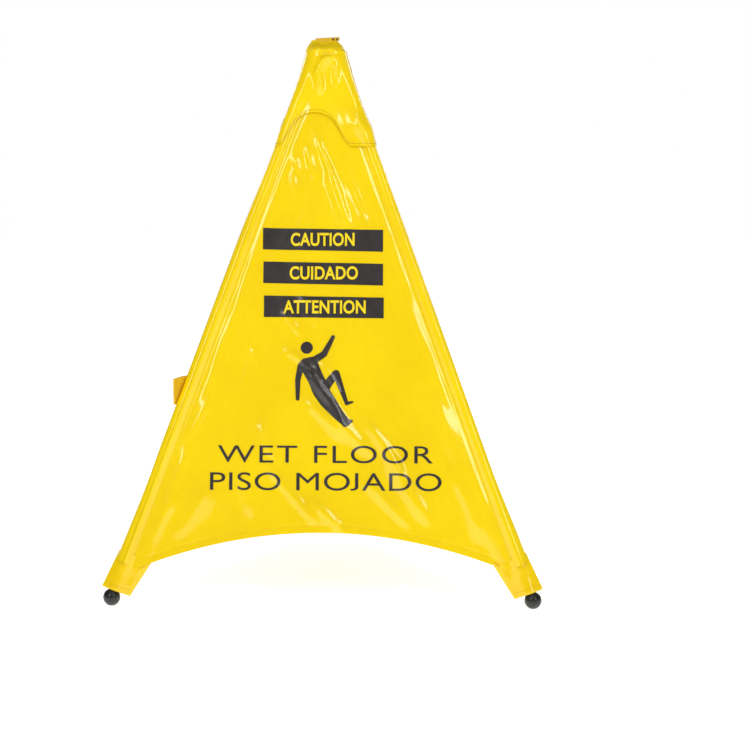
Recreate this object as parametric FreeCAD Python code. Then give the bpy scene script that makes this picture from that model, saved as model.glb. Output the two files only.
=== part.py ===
"""Wet floor sign: a spring-open tripod under a sewn three-sided cover. Millimetres, +Z up, floor at Z = 0.

The front panel faces -Y. The origin lies on the floor at the middle of the footprint's box.
"""
import FreeCAD, Part
import math
import os

from FreeCAD import Placement, Rotation, Vector

# Overall sizes
SIGN_HEIGHT = 762.0  # floor to the top of the pull tab
FOOT_CIRCLE_R = 327.0  # hub axis to the centre of each ball foot
HUB_AXIS_Y = -FOOT_CIRCLE_R / 4  # puts the middle of the footprint's box at the origin
LEG_AZIMUTHS = {"left": -150.0, "right": -30.0, "rear": 90.0}
PANEL_LEGS = {"front": ("left", "right"), "right": ("right", "rear"), "left": ("rear", "left")}

# Hub and hinges
PIVOT_R = 22.5
PIVOT_Z = 726.0
HUB_R = 26.0
HUB_BOTTOM_Z = 712.0
HUB_TOP_Z = 736.0
HUB_ROOF = 2.0
SLOT_WIDTH = 15.0
SLOT_INNER_R = 11.0
CAP_THICKNESS = 3.5
CAP_LIP = 1.2
SCREW_R = 2.5
SCREW_HEAD_R = 5.0
SCREW_HEAD_H = 2.4
SCREW_LENGTH = 18.0
PIN_R = 2.0
PIN_LENGTH = 25.0
RUNNING_CLEARANCE = 0.05

# Torsion springs
WIRE_R = 0.55
COIL_R = 4.0
COIL_PITCH = 1.25
COIL_TURNS = 4
POINTS_PER_TURN = 12

# Legs
BALL_R = 11.5
BALL_CENTRE_Z = 11.0
LEG_TUBE_R = 5.0
LEG_TUBE_WALL = 1.0
SOCKET_CLEARANCE = 0.03
KNUCKLE_R = 7.0
EAR_INNER = 3.4
EAR_OUTER = 7.0
BRIDGE_TOP = 12.0  # below the pivot, along the leg, as are the next three
TUBE_TOP = 21.0
KNUCKLE_END = 50.0
SLEEVE_TOP = 56.0
FOOT_NECK_R = 6.6
FOOT_NECK_TOP = 14.0  # above the ball's centre, along the leg

# Cover
SLEEVE_INNER_R = 5.3
SLEEVE_OUTER_R = 6.3
PANEL_OFFSET = 7.0  # leg axis to the panel's inner face
PANEL_THICKNESS = 0.8
PANEL_TOP_Z = 682.0
HEM_TOP_Z = 97.0
CUFF_ABOVE_BALL = 9.4
CUFF_LENGTH = 50.0
CUFF_TOP_HALF_WIDTH = 23.5
CUFF_END_HALF_WIDTH = 20.3
CUFF_TOP_SHIFT = 10.5  # how far a front cuff's middle lies inward of its leg's axis
CUFF_END_SHIFT = 2.5
CUFF_HALF_THICKNESS = 8.0
CUFF_WALL = 0.9
SEAM_GAP = 0.5

# Yoke: the outline at each height is three circles, joined by straight sides
YOKE_SKIN = 0.9
YOKE_BOTTOM_Z = 613.0
YOKE_STRAIGHT_Z = 690.0
YOKE_FOLLOWS_LEG_R = 10.5
YOKE_UPPER = [(712.0, 24.0, 15.2), (726.0, 15.0, 19.6), (741.0, 7.0, 23.6), (746.0, 5.0, 21.0)]
YOKE_ARCH = [(48.6, 0.0), (41.0, 9.5), (33.0, 25.0), (22.0, 39.5)]  # half width, and height above the bottom
YOKE_ARCH_RISE = 46.0
YOKE_TWIST = 15.0  # the arches sit this far round from the middles of the panels

# Top fold, pull tab and closing strap
FOLD_BASE = (40.0, 16.0)
FOLD_TOP = (34.0, 5.0)
FOLD_TOP_Z = 757.0
TAB_START_X = -15.0
TAB_END_X = 18.0
TAB_DEPTH = 7.0
RIVET_R = 1.3
RIVET_X = (9.5, 15.0)
STRAP_WIDTH = 40.0
STRAP_Z = 283.0
STRAP_THICKNESS = 1.6
STRAP_PAST_CORNER = 24.0
STRAP_ON_PANEL = 150.0
PAD_LENGTH = 20.0
PAD_THICKNESS = 1.0

# Worked out
LEG_ANGLE = math.degrees(math.atan2(FOOT_CIRCLE_R - PIVOT_R, PIVOT_Z - BALL_CENTRE_Z))
LEG_LENGTH = math.hypot(FOOT_CIRCLE_R - PIVOT_R, PIVOT_Z - BALL_CENTRE_Z)
CUFF_END = LEG_LENGTH - CUFF_ABOVE_BALL
CUFF_TOP = CUFF_END - CUFF_LENGTH
UP = Vector(0, 0, 1)
ALONG_Y = Vector(0, 1, 0)


def leg_r(z):
    """Distance of a leg's axis from the hub axis, at height z."""
    return PIVOT_R + (PIVOT_Z - z) * math.tan(math.radians(LEG_ANGLE))


def radial(azimuth):
    a = math.radians(azimuth)
    return Vector(math.cos(a), math.sin(a), 0)


def leg_point(leg, along):
    """Point on a leg's axis, a distance below its pivot along the leg."""
    tilt = math.radians(LEG_ANGLE)
    out = radial(LEG_AZIMUTHS[leg]) * (PIVOT_R + along * math.sin(tilt))
    return out + UP * (PIVOT_Z - along * math.cos(tilt))


def place_on_leg(shape, leg):
    """Moves a shape from the leg's own frame (pivot at the origin, leg down -Z, outward +X) to its place."""
    tilted = Rotation(ALONG_Y, -LEG_ANGLE)
    turned = Rotation(UP, LEG_AZIMUTHS[leg])
    placed = shape.copy()
    placed.Placement = Placement(leg_point(leg, 0), turned.multiply(tilted))
    return placed


def place_on_hub(shape, leg):
    """Moves a shape from the pivot's frame (outward +X, up +Z) to its leg's pivot."""
    placed = shape.copy()
    placed.Placement = Placement(leg_point(leg, 0), Rotation(UP, LEG_AZIMUTHS[leg]))
    return placed


def rod(radius, length, centre, direction):
    """Cylinder centred on a point."""
    half = Vector(direction).normalize() * (length / 2)
    return Part.makeCylinder(radius, length, centre - half, direction)


def box_between(low, high):
    return Part.makeBox(*[high[i] - low[i] for i in range(3)], Vector(*low))


# ---- Hub


def hub_body():
    """Moulded crown with three slots, open below and outward, and a cross hole for each hinge pin."""
    height = HUB_TOP_Z - HUB_BOTTOM_Z
    body = Part.makeCylinder(HUB_R, height, UP * HUB_BOTTOM_Z)
    slot = box_between(
        (SLOT_INNER_R - PIVOT_R, -SLOT_WIDTH / 2, HUB_BOTTOM_Z - PIVOT_Z - 1),
        (HUB_R - PIVOT_R + 1, SLOT_WIDTH / 2, HUB_TOP_Z - HUB_ROOF - PIVOT_Z),
    )
    pin_hole = rod(PIN_R + SOCKET_CLEARANCE, 2 * HUB_R, Vector(), ALONG_Y)
    for leg in LEG_AZIMUTHS:
        body = body.cut(place_on_hub(slot.fuse(pin_hole), leg))
    screw_hole = Part.makeCylinder(SCREW_R, height + 2, UP * (HUB_BOTTOM_Z - 1))
    return body.cut(screw_hole)


def hub_cap():
    """Disc that clamps the cover's top to the hub."""
    disc = Part.makeCylinder(HUB_R - CAP_LIP, CAP_THICKNESS, UP * HUB_TOP_Z)
    rim = [e for e in disc.Edges if e.BoundBox.ZMin > HUB_TOP_Z + CAP_THICKNESS / 2 and e.Closed]
    disc = disc.makeFillet(CAP_LIP, rim)
    return disc.cut(Part.makeCylinder(SCREW_R, CAP_THICKNESS + 2, UP * (HUB_TOP_Z - 1)))


def cap_screw():
    """Pan head screw with a cross recess."""
    seat_z = HUB_TOP_Z + CAP_THICKNESS
    shank = Part.makeCylinder(SCREW_R - RUNNING_CLEARANCE, SCREW_LENGTH, UP * (seat_z - SCREW_LENGTH))
    head = Part.makeCylinder(SCREW_HEAD_R, SCREW_HEAD_H, UP * seat_z)
    top = [e for e in head.Edges if e.BoundBox.ZMin > seat_z + SCREW_HEAD_H / 2 and e.Closed]
    screw = shank.fuse(head.makeFillet(SCREW_HEAD_H / 2, top))
    reach = SCREW_HEAD_R * 0.6
    recess_z = seat_z + SCREW_HEAD_H / 2
    for across in ((reach, 0.5), (0.5, reach)):
        low = (-across[0], -across[1], recess_z)
        high = (across[0], across[1], seat_z + SCREW_HEAD_H + 1)
        screw = screw.cut(box_between(low, high))
    return screw.removeSplitter()


def hinge_pin(leg):
    """Plain steel pin across the leg's slot."""
    return place_on_hub(rod(PIN_R, PIN_LENGTH, Vector(), ALONG_Y), leg)


def torsion_spring(leg):
    """Coil round the hinge pin. One arm bears on the hub's core and the other enters the knuckle."""
    half = COIL_PITCH * COIL_TURNS / 2
    steps = COIL_TURNS * POINTS_PER_TURN
    coil = []
    for i in range(steps + 1):
        angle = 2 * math.pi * i / POINTS_PER_TURN
        y = -half + COIL_PITCH * i / POINTS_PER_TURN
        coil.append(Vector(COIL_R * math.sin(angle), y, COIL_R * math.cos(angle)))
    # The first arm leaves the top of the coil towards the hub's axis.
    hub_end_x = SLOT_INNER_R - PIVOT_R + WIRE_R
    hub_arm = [Vector(hub_end_x, -half, COIL_R), Vector(hub_end_x / 2, -half, COIL_R)]
    # The second arm leaves the top of the coil outward, and turns down beside the leg's axis.
    tilted = Rotation(ALONG_Y, -LEG_ANGLE)
    knuckle_arm = [
        tilted.multVec(Vector(COIL_R * 1.2, half, -COIL_R * 0.2)),
        tilted.multVec(Vector(COIL_R * 0.95, half / 2, -COIL_R * 1.4)),
        tilted.multVec(Vector(COIL_R * 0.8, 0, -BRIDGE_TOP * 0.75)),
        tilted.multVec(Vector(COIL_R * 0.8, 0, -BRIDGE_TOP - 3)),
    ]
    path = Part.BSplineCurve()
    path.interpolate(hub_arm + coil + knuckle_arm)
    start = hub_arm[0]
    profile = Part.Wire(Part.makeCircle(WIRE_R, start, path.tangent(0)[0]))
    spring = Part.Wire(path.toShape()).makePipeShell([profile], True, True)
    return place_on_hub(spring, leg)


# ---- Legs


def leg_knuckle(leg):
    """Forked end that turns on the hinge pin, with a socket for the leg tube."""
    fork = rod(KNUCKLE_R, 2 * EAR_OUTER, Vector(), ALONG_Y)
    fork = fork.fuse(box_between((-KNUCKLE_R, -EAR_OUTER, -BRIDGE_TOP - 2), (KNUCKLE_R, EAR_OUTER, 0)))
    gap = box_between(
        (-KNUCKLE_R - 1, -EAR_INNER, -BRIDGE_TOP),
        (KNUCKLE_R + 1, EAR_INNER, KNUCKLE_R + 1),
    )
    fork = fork.cut(gap)
    post = Part.makeCylinder(KNUCKLE_R, KNUCKLE_END - BRIDGE_TOP, Vector(0, 0, -KNUCKLE_END))
    trim = Part.makeCylinder(KNUCKLE_R * 1.25, KNUCKLE_END + KNUCKLE_R, Vector(0, 0, -KNUCKLE_END))
    knuckle = fork.fuse(post).common(trim)
    socket_depth = KNUCKLE_END - TUBE_TOP + 1
    socket_r = LEG_TUBE_R + SOCKET_CLEARANCE
    knuckle = knuckle.cut(Part.makeCylinder(socket_r, socket_depth, Vector(0, 0, -KNUCKLE_END - 1)))
    knuckle = knuckle.cut(rod(PIN_R + RUNNING_CLEARANCE, 4 * KNUCKLE_R, Vector(), ALONG_Y))
    wire_hole = Part.makeCylinder(WIRE_R * 2, 5, Vector(COIL_R * 0.8, 0, -BRIDGE_TOP - 4))
    return place_on_leg(knuckle.cut(wire_hole).removeSplitter(), leg)


def leg_tube(leg):
    """Round tube from the knuckle's socket to the ball foot."""
    length = LEG_LENGTH - 2 - TUBE_TOP
    foot_end = Vector(0, 0, -TUBE_TOP - length)
    tube = Part.makeCylinder(LEG_TUBE_R, length, foot_end)
    bore = Part.makeCylinder(LEG_TUBE_R - LEG_TUBE_WALL, length, foot_end)
    return place_on_leg(tube.cut(bore), leg)


def ball_foot(leg):
    """Rubber ball with a short neck, flattened where it stands."""
    centre = Vector(0, 0, -LEG_LENGTH)
    ball = Part.makeSphere(BALL_R, centre)
    neck = Part.makeCylinder(FOOT_NECK_R, FOOT_NECK_TOP, centre)
    bore = Part.makeCylinder(LEG_TUBE_R + SOCKET_CLEARANCE, FOOT_NECK_TOP + 3, centre - UP * 2)
    foot = place_on_leg(ball.fuse(neck).cut(bore), leg)
    floor = Part.makeBox(4 * BALL_R, 4 * BALL_R, 2 * BALL_R)
    at = leg_point(leg, LEG_LENGTH)
    floor.translate(Vector(at.x - 2 * BALL_R, at.y - 2 * BALL_R, -2 * BALL_R))
    return foot.cut(floor)


# ---- Cover


def panel_normal(panel):
    """Outward unit normal of a panel, square to the axes of its two legs."""
    first, second = PANEL_LEGS[panel]
    down_first = leg_point(first, 1) - leg_point(first, 0)
    down_second = leg_point(second, 1) - leg_point(second, 0)
    return down_first.cross(down_second).normalize()


def towards(leg, normal, other):
    """Unit vector square to a leg's axis and to a normal, pointing to the side of another point."""
    down = (leg_point(leg, 1) - leg_point(leg, 0)).normalize()
    side = down.cross(normal).normalize()
    return side if side.dot(other - leg_point(leg, 0)) > 0 else side * -1


def cover_panel(panel):
    """Flat panel between two leg axes, with an arched hem between its two cuffs."""
    first, second = PANEL_LEGS[panel]
    normal = panel_normal(panel)
    tilt = math.radians(LEG_ANGLE)
    top = (PIVOT_Z - PANEL_TOP_Z) / math.cos(tilt)
    low = CUFF_TOP - SEAM_GAP
    corners = [leg_point(first, top), leg_point(second, top), leg_point(second, low)]
    cuff_side = CUFF_TOP_HALF_WIDTH + (CUFF_TOP_SHIFT if panel == "front" else 0)
    cuff_sides = []
    for leg, other in ((second, first), (first, second)):
        inward = towards(leg, normal, leg_point(other, low))
        cuff_sides.append(leg_point(leg, low) + inward * cuff_side)
    across = (leg_point(first, 0) + leg_point(second, 0)) * 0.5
    middle = radial(math.degrees(math.atan2(across.y, across.x))) * (leg_r(HEM_TOP_Z) / 2)
    hem = Part.Arc(cuff_sides[0], middle + UP * HEM_TOP_Z, cuff_sides[1]).toShape()
    outline = [Part.makeLine(a, b) for a, b in zip(corners, corners[1:] + cuff_sides[:1])]
    outline += [hem, Part.makeLine(cuff_sides[1], leg_point(first, low))]
    outline.append(Part.makeLine(leg_point(first, low), corners[0]))
    sheet = Part.Face(Part.Wire(outline))
    sheet.translate(normal * PANEL_OFFSET)
    return sheet.extrude(normal * PANEL_THICKNESS)


def leg_sleeve(leg):
    """Fabric pocket round the leg tube, from under the yoke to the cuff."""
    length = CUFF_TOP - SEAM_GAP - SLEEVE_TOP
    end = Vector(0, 0, -SLEEVE_TOP - length)
    sleeve = Part.makeCylinder(SLEEVE_OUTER_R, length, end)
    return place_on_leg(sleeve.cut(Part.makeCylinder(SLEEVE_INNER_R, length, end)), leg)


def flat_oval(half_width, half_thickness, middle, z):
    """Wire of a slot shape in the leg's frame, wide along Y."""
    low, high = middle - half_width + half_thickness, middle + half_width - half_thickness
    a, b = Vector(half_thickness, low, z), Vector(half_thickness, high, z)
    c, d = Vector(-half_thickness, high, z), Vector(-half_thickness, low, z)
    end = Part.Arc(b, Vector(0, middle + half_width, z), c).toShape()
    start = Part.Arc(d, Vector(0, middle - half_width, z), a).toShape()
    return Part.Wire([Part.makeLine(a, b), end, Part.makeLine(c, d), start])


def leg_cuff(leg):
    """Wide stitched pocket end. The front two lie flat in the front panel's plane, the rear one faces back."""
    inward = {"left": 1, "right": -1, "rear": 0}[leg]
    outer_sizes = [
        (CUFF_TOP_HALF_WIDTH, CUFF_HALF_THICKNESS, inward * CUFF_TOP_SHIFT, -CUFF_TOP),
        (CUFF_END_HALF_WIDTH, CUFF_HALF_THICKNESS, inward * CUFF_END_SHIFT, -CUFF_END),
    ]
    inner_sizes = [(w - CUFF_WALL, t - CUFF_WALL, m, z) for w, t, m, z in outer_sizes]
    outer = Part.makeLoft([flat_oval(*s) for s in outer_sizes], True, True)
    inner = Part.makeLoft([flat_oval(*s) for s in inner_sizes], True, True)
    placed = place_on_leg(outer.cut(inner), leg)
    if leg == "rear":
        return placed
    down = (leg_point(leg, 1) - leg_point(leg, 0)).normalize()
    outward = placed.Placement.Rotation.multVec(Vector(1, 0, 0))
    normal = panel_normal("front")
    turn = math.degrees(math.atan2(outward.cross(normal).dot(down), outward.dot(normal)))
    placed.rotate(leg_point(leg, 0), down, turn)
    return placed


def yoke_outline(z, centre_r, corner_r):
    """Closed wire round three circles of corner_r, whose centres are centre_r out along each leg."""
    edges = []
    azimuths = list(LEG_AZIMUTHS.values())
    for i, azimuth in enumerate(azimuths):
        centre = radial(azimuth) * centre_r + UP * z
        a, m, b = [centre + radial(azimuth + turn) * corner_r for turn in (-60, 0, 60)]
        edges.append(Part.Arc(a, m, b).toShape())
        after = azimuths[(i + 1) % len(azimuths)]
        c = radial(after) * centre_r + UP * z + radial(after - 60) * corner_r
        edges.append(Part.makeLine(b, c))
    return Part.Wire(edges)


def yoke_solid(inset, bottom_z, top_z):
    sections = [(bottom_z, leg_r(bottom_z), YOKE_FOLLOWS_LEG_R)]
    sections.append((YOKE_STRAIGHT_Z, leg_r(YOKE_STRAIGHT_Z), YOKE_FOLLOWS_LEG_R))
    sections += YOKE_UPPER[:-1]
    sections.append((top_z, *YOKE_UPPER[-1][1:]))
    wires = [yoke_outline(z, centre, corner - inset) for z, centre, corner in sections]
    return Part.makeLoft(wires, True, True)


def yoke_arch(azimuth):
    """Cutter for the scallop over the panel at this azimuth, pushed outward from the hub's axis."""
    left = [Vector(0, -y, YOKE_BOTTOM_Z + rise) for y, rise in YOKE_ARCH]
    right = [Vector(0, y, YOKE_BOTTOM_Z + rise) for y, rise in reversed(YOKE_ARCH)]
    curve = Part.BSplineCurve()
    curve.interpolate(left + [Vector(0, 0, YOKE_BOTTOM_Z + YOKE_ARCH_RISE)] + right)
    start, end = left[0], right[-1]
    low_start, low_end = start - UP, end - UP
    below = [Part.makeLine(end, low_end), Part.makeLine(low_end, low_start), Part.makeLine(low_start, start)]
    cutter = Part.Face(Part.Wire([curve.toShape()] + below)).extrude(Vector(FOOT_CIRCLE_R, 0, 0))
    cutter.translate(Vector(0, -YOKE_TWIST, 0))
    cutter.rotate(Vector(), UP, azimuth)
    return cutter


def top_yoke():
    """Second layer sewn over the top, with a scalloped lower edge. It is hollow, and the hub sits inside it."""
    top_z = YOKE_UPPER[-1][0]
    skin = yoke_solid(0, YOKE_BOTTOM_Z, top_z).cut(yoke_solid(YOKE_SKIN, YOKE_BOTTOM_Z - 1, top_z - YOKE_SKIN))
    for azimuth in LEG_AZIMUTHS.values():
        skin = skin.cut(yoke_arch(azimuth + 60))
    return skin


def top_fold():
    """Gathered top of the cover, folded flat and sewn."""
    base_z = YOKE_UPPER[-1][0]
    wires = []
    for (length, depth), z in ((FOLD_BASE, base_z), (FOLD_TOP, FOLD_TOP_Z)):
        corners = [(-1, -1), (1, -1), (1, 1), (-1, 1), (-1, -1)]
        wires.append(Part.makePolygon([Vector(x * length / 2, y * depth / 2, z) for x, y in corners]))
    return Part.makeLoft(wires, True, True)


def tab_body():
    """Tab of folded webbing over the top fold, to pull the sign out of its tube by."""
    half = FOLD_TOP[1] / 2 + 1.2
    outer = box_between(
        (TAB_START_X, -half, SIGN_HEIGHT - TAB_DEPTH),
        (TAB_END_X, half, SIGN_HEIGHT),
    )
    long_edges = [
        e for e in outer.Edges
        if e.BoundBox.XLength > 1 and e.BoundBox.ZMin > SIGN_HEIGHT - TAB_DEPTH / 2
    ]
    return outer.makeFillet(1.5, long_edges).cut(top_fold())


def tab_rivets():
    """Two small rivets through the tab's free end."""
    width = FOLD_TOP[1] + 3.6
    z = SIGN_HEIGHT - TAB_DEPTH / 2
    rivets = [rod(RIVET_R, width, Vector(x, 0, z), ALONG_Y) for x in RIVET_X]
    return Part.makeCompound(rivets)


def pull_tab():
    tab = tab_body()
    for rivet in tab_rivets().Solids:
        tab = tab.cut(rivet)
    return tab


def strap_piece(start, end, width, inner, outer):
    """Plate along the left panel at strap height. Start and end are distances from the corner, in the panel."""
    normal = panel_normal("left")
    down = (leg_point("left", 1) - leg_point("left", 0)).normalize()
    at = leg_point("left", (PIVOT_Z - STRAP_Z) / math.cos(math.radians(LEG_ANGLE)))
    level = UP.cross(normal).normalize()
    if level.dot(leg_point("rear", LEG_LENGTH) - at) < 0:
        level = level * -1
    upward = normal.cross(level).normalize()
    if upward.dot(down) > 0:
        upward = upward * -1
    corners = [(start, -1), (end, -1), (end, 1), (start, 1), (start, -1)]
    outline = [at + level * along + upward * (side * width / 2) for along, side in corners]
    plate = Part.Face(Part.makePolygon(outline))
    plate.translate(normal * (PANEL_OFFSET + inner))
    return plate.extrude(normal * (outer - inner))


def closing_strap():
    """Strap sewn to the left panel. Its free end stands past the corner, ready to wrap the folded sign."""
    inner = PANEL_THICKNESS
    return strap_piece(-STRAP_PAST_CORNER, STRAP_ON_PANEL, STRAP_WIDTH, inner, inner + STRAP_THICKNESS)


def strap_hook_pad():
    """Hook pad on the outside of the strap's free end."""
    inner = PANEL_THICKNESS + STRAP_THICKNESS
    start = 3 - STRAP_PAST_CORNER
    return strap_piece(start, start + PAD_LENGTH, STRAP_WIDTH - 8, inner, inner + PAD_THICKNESS)


def strap_loop_pad():
    """Loop pad that the hook pad closes on, further round the strap."""
    inner = PANEL_THICKNESS + STRAP_THICKNESS
    start = STRAP_ON_PANEL - PAD_LENGTH - 4
    return strap_piece(start, start + PAD_LENGTH, STRAP_WIDTH - 8, inner, inner + PAD_THICKNESS)


def save(name, shape):
    """Writes one node, moved from the hub's axis to the part's frame."""
    moved = shape.copy()
    moved.translate(Vector(0, HUB_AXIS_Y, 0))
    moved.exportStep(f"parts/{name}.step")


os.makedirs("parts", exist_ok=True)
for node in (hub_body, hub_cap, cap_screw, top_yoke, top_fold, pull_tab, tab_rivets,
             closing_strap, strap_hook_pad, strap_loop_pad):
    save(node.__name__, node())
for panel in PANEL_LEGS:
    save(f"cover_panel_{panel}", cover_panel(panel))
for leg in LEG_AZIMUTHS:
    for node in (hinge_pin, torsion_spring, leg_knuckle, leg_tube, ball_foot, leg_sleeve, leg_cuff):
        save(f"{node.__name__}_{leg}", node(leg))
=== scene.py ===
"""Pop-up wet floor sign: a sprung tripod standing under a sewn three-sided cover of coated cloth."""
import math

import bmesh
import bpy
from mathutils import Matrix, Vector, noise


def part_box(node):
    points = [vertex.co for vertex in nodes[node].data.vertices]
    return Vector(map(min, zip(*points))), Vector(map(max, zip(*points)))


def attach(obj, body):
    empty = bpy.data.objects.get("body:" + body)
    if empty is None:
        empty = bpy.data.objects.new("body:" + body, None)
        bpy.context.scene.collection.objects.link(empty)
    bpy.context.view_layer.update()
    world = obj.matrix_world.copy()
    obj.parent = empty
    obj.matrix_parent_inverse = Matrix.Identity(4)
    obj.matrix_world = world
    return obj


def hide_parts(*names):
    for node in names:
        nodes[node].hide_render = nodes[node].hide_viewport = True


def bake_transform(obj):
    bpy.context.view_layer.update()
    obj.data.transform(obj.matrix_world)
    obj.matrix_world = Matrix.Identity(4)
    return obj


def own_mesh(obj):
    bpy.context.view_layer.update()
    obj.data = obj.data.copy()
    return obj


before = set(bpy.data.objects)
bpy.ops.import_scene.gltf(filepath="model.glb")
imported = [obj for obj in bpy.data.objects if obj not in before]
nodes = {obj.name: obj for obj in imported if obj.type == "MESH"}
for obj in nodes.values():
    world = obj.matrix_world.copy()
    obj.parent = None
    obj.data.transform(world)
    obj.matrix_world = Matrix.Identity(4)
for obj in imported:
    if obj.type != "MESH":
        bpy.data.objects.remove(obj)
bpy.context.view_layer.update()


# ---- Studio
# A white paper floor, two large soft boxes and a bright room, for a glossy yellow cloth.
# The camera stands a little above the sign's middle and looks slightly down at the front panel.

hub_low, hub_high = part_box("hub_cap")
hub_x, hub_y = (hub_low.x + hub_high.x) / 2, (hub_low.y + hub_high.y) / 2
hub_axis = Vector((hub_x, hub_y, 0))
CAMERA_TURN = math.radians(-1.66)
CAMERA_DOWN = math.radians(8.0)
CAMERA_DISTANCE = 2.2

view_axis = Vector((
    math.sin(CAMERA_TURN) * math.cos(CAMERA_DOWN),
    math.cos(CAMERA_TURN) * math.cos(CAMERA_DOWN),
    -math.sin(CAMERA_DOWN),
))
view_right = Vector((math.cos(CAMERA_TURN), -math.sin(CAMERA_TURN), 0))
view_up = view_right.cross(view_axis)
lens = bpy.data.cameras.new("camera")
lens.lens = 74.7
lens.sensor_width = 36
lens.clip_end = 50
camera = bpy.data.objects.new("camera", lens)
aim = Vector((hub_x, hub_y, 0.38)) + view_right * 0.067 - view_up * 0.088
camera.location = aim - view_axis * CAMERA_DISTANCE
camera.rotation_euler = view_axis.to_track_quat("-Z", "Y").to_euler()
bpy.context.scene.collection.objects.link(camera)
bpy.context.scene.camera = camera
bpy.context.scene.view_settings.view_transform = "Standard"

room = bpy.data.worlds.new("white_room")
room.use_nodes = True
walls = room.node_tree.nodes["Background"]
walls.inputs["Color"].default_value = (1.0, 1.0, 1.0, 1.0)
rays = room.node_tree.nodes.new("ShaderNodeLightPath")
gloss = room.node_tree.nodes.new("ShaderNodeMapRange")  # the walls are bright, but reflect dimly in gloss
gloss.inputs["To Min"].default_value = 0.34
gloss.inputs["To Max"].default_value = 0.02
seen = room.node_tree.nodes.new("ShaderNodeMath")
seen.operation = "MAXIMUM"
room.node_tree.links.new(rays.outputs["Is Glossy Ray"], gloss.inputs["Value"])
room.node_tree.links.new(rays.outputs["Is Camera Ray"], seen.inputs[0])
room.node_tree.links.new(gloss.outputs["Result"], seen.inputs[1])
room.node_tree.links.new(seen.outputs[0], walls.inputs["Strength"])
bpy.context.scene.world = room


def soft_box(name, place, target, width, height, power):
    """Rectangular lamp at a place, turned to a target."""
    lamp = bpy.data.lights.new(name, "AREA")
    lamp.shape = "RECTANGLE"
    lamp.size = width
    lamp.size_y = height
    lamp.energy = power
    stand = bpy.data.objects.new(name, lamp)
    stand.location = place
    aimed = Vector(target) - Vector(place)
    stand.rotation_euler = aimed.to_track_quat("-Z", "Y").to_euler()
    bpy.context.scene.collection.objects.link(stand)


soft_box("soft_box_left", (-1.25, -2.3, 1.85), (0, 0, 0.4), 0.4, 1.5, 16)
soft_box("soft_box_right", (1.5, -2.0, 1.6), (0, 0, 0.4), 0.38, 1.5, 14)
soft_box("soft_box_top", (0.1, -1.0, 2.6), (0, 0, 0.3), 1.2, 0.7, 7)
soft_box("soft_box_back_left", (-1.7, 1.9, 1.7), (0, 0, 0.35), 0.7, 1.3, 13)
soft_box("soft_box_back_right", (1.8, 1.8, 1.6), (0, 0, 0.35), 0.7, 1.3, 13)

paper = bpy.data.materials.new("white_paper")
paper.use_nodes = True
paper_shader = paper.node_tree.nodes["Principled BSDF"]
paper_shader.inputs["Base Color"].default_value = (0.93, 0.93, 0.93, 1)
paper_shader.inputs["Roughness"].default_value = 0.9
paper_shader.inputs["Specular IOR Level"].default_value = 0.1
paper_shader.inputs["Emission Color"].default_value = (1, 1, 1, 1)
paper_shader.inputs["Emission Strength"].default_value = 0.72
sweep = bmesh.new()
bmesh.ops.create_grid(sweep, x_segments=2, y_segments=2, size=9)
sweep_mesh = bpy.data.meshes.new("paper_floor")
sweep.to_mesh(sweep_mesh)
sweep.free()
sweep_mesh.materials.append(paper)
paper_floor = bpy.data.objects.new("paper_floor", sweep_mesh)
bpy.context.scene.collection.objects.link(paper_floor)


# ---- Hub, cap and screw
# The hub is a glass-filled nylon moulding with three slots, and its cap clamps the cover's top.
# A plated pan head screw holds the cap. They keep their CAD shapes.


class Signal:
    """A number, colour or vector in a finish, worked on with the usual operators."""

    def __init__(self, finish, socket):
        self.finish = finish
        self.socket = socket

    def math(self, operation, *values):
        return self.finish.node("ShaderNodeMath", {"operation": operation}, dict(enumerate(values)))

    def __add__(self, other):
        return self.math("ADD", self, other)

    def __sub__(self, other):
        return self.math("SUBTRACT", self, other)

    def __rsub__(self, other):
        return self.math("SUBTRACT", other, self)

    def __mul__(self, other):
        return self.math("MULTIPLY", self, other)

    __radd__ = __add__
    __rmul__ = __mul__

    def ramp(self, low, high):
        """0 below low, 1 above high, and smooth between them."""
        settings = {"interpolation_type": "SMOOTHSTEP"}
        return self.finish.node("ShaderNodeMapRange", settings, {0: self, 1: low, 2: high})


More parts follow.
